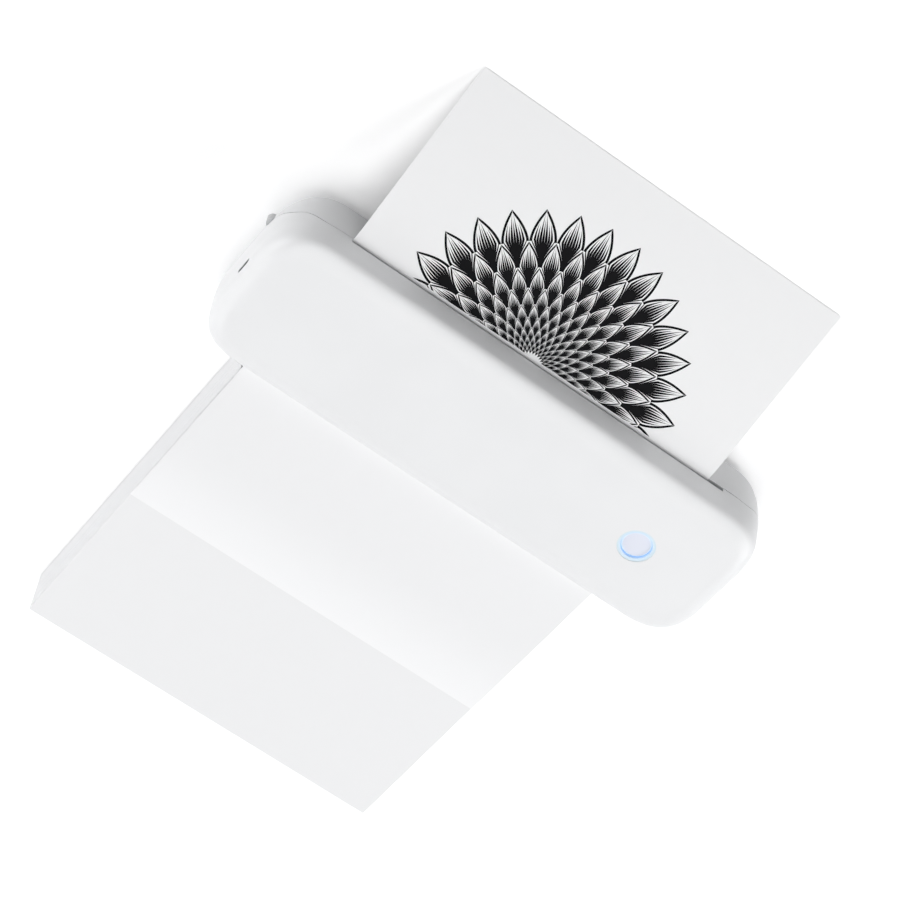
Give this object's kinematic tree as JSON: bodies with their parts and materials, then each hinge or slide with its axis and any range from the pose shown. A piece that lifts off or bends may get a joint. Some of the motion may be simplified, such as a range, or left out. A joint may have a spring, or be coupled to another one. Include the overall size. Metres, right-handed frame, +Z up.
{
  "type": "portable label printer",
  "caption": "Flat portable printer with a hinged top cover, round lit power button, end release buttons, a folded paper stack feeding in behind and a printed sheet leaving in front.",
  "frame": {"origin": "on the floor below the middle of the printer's case, at the face of its rubber pad", "axes": "+Z up, -Y towards the front slot where the sheet leaves, +Y towards the paper stack, +X towards the end with the charging port"},
  "size_m": [0.2888, 0.3866, 0.045],
  "materials": {
    "base_plastic": "fine matte moulding",
    "cover_plastic": "fine matte moulding",
    "inner_plastic": "matte moulding",
    "steel": "bright",
    "rubber": "matte",
    "bearing_plastic": "smooth moulding",
    "motor_steel": "zinc plated",
    "cell_wrap": "shrink sleeve on a metal can",
    "contact_metal": "nickel plated",
    "board_green": "solder resist",
    "chip_black": "matte",
    "stack_paper": "stacked paper edges",
    "label_paper": "smooth coated paper",
    "printed_paper": "smooth coated paper with a black print",
    "port_steel": "satin",
    "light_white": "clear moulding",
    "ring_plastic": "lit translucent moulding",
    "bracket_steel": "zinc plated sheet",
    "spring_steel": "drawn wire",
    "heatsink_aluminium": "extruded",
    "ceramic_white": "glazed ceramic",
    "platen_rubber": "ground rubber",
    "gear_plastic": "smooth moulding",
    "pinion_brass": "turned",
    "button_plastic": "satin moulding",
    "release_plastic": "matte moulding"
  },
  "bodies": {
    "base": {"base_shell": "base_plastic", "chassis": "inner_plastic", "case_screws": "steel", "rubber_pad": "rubber", "rubber_feet": "rubber", "hinge_pin_left": "steel", "hinge_pin_right": "steel", "platen_bearing_left": "bearing_plastic", "platen_bearing_right": "bearing_plastic", "motor": "motor_steel", "idler_axle": "steel", "battery_tray": "inner_plastic", "battery_cell_left": "cell_wrap", "battery_cell_right": "cell_wrap", "battery_contacts": "contact_metal", "control_board": "board_green", "control_board_parts": "chip_black", "paper_sensor": "chip_black", "paper_stack": "stack_paper", "feed_sheet": "label_paper", "printed_sheet": "printed_paper"},
    "cover": {"cover_shell": "cover_plastic", "cover_paper_guide": "inner_plastic", "main_board": "board_green", "main_board_parts": "chip_black", "board_screws": "steel", "charging_port": "port_steel", "charging_port_tongue": "chip_black", "button_switch": "chip_black", "button_lights": "light_white", "button_light_ring": "ring_plastic", "head_bracket": "bracket_steel", "head_screws": "steel", "head_springs": "spring_steel"},
    "print_head": {"head_heatsink": "heatsink_aluminium", "head_ceramic": "ceramic_white", "head_driver_strip": "chip_black"},
    "platen": {"platen_shaft": "steel", "platen_rubber": "platen_rubber", "platen_gear": "gear_plastic"},
    "idler": {"idler_gear": "gear_plastic"},
    "motor_rotor": {"motor_shaft": "steel", "motor_pinion": "pinion_brass"},
    "button_cap": {"power_button": "button_plastic"},
    "release_right": {"release_button_right": "release_plastic"},
    "release_left": {"release_button_left": "release_plastic"}
  },
  "joints": [
    {"name": "cover_hinge", "type": "hinge", "parent": "base", "child": "cover", "pos_m": [0, 0.0434, 0.0315], "axis": [-1, 0, 0], "range_deg": [0, 60]},
    {"name": "power_button_press", "type": "slide", "parent": "cover", "child": "button_cap", "axis": [0, 0, -1], "range_m": [0, 0.0006], "stiffness_N_per_m": 2000, "springref_m": -0.0002},
    {"name": "head_float", "type": "slide", "parent": "cover", "child": "print_head", "axis": [0, 0, 1], "range_m": [0, 0.0008], "stiffness_N_per_m": 2500, "springref_m": -0.0015, "deforming": ["head_springs"]},
    {"name": "release_right_press", "type": "slide", "parent": "base", "child": "release_right", "axis": [-1, 0, 0], "range_m": [0, 0.0018], "stiffness_N_per_m": 1200, "springref_m": -0.0003},
    {"name": "release_left_press", "type": "slide", "parent": "base", "child": "release_left", "axis": [1, 0, 0], "range_m": [0, 0.0018], "stiffness_N_per_m": 1200, "springref_m": -0.0003},
    {"name": "platen_spin", "type": "hinge", "parent": "base", "child": "platen", "pos_m": [0, -0.02, 0.0226], "axis": [1, 0, 0], "continuous": true},
    {"name": "idler_spin", "type": "hinge", "parent": "base", "child": "idler", "pos_m": [-0.114, -0.004, 0.01576], "axis": [1, 0, 0], "continuous": true},
    {"name": "motor_spin", "type": "hinge", "parent": "base", "child": "motor_rotor", "pos_m": [-0.114, 0.00848, 0.014], "axis": [1, 0, 0], "continuous": true}
  ],
  "couplings": [
    {"joint": "idler_spin", "follows": "platen_spin", "ratio": -0.93333},
    {"joint": "motor_spin", "follows": "platen_spin", "ratio": 2.3333}
  ]
}
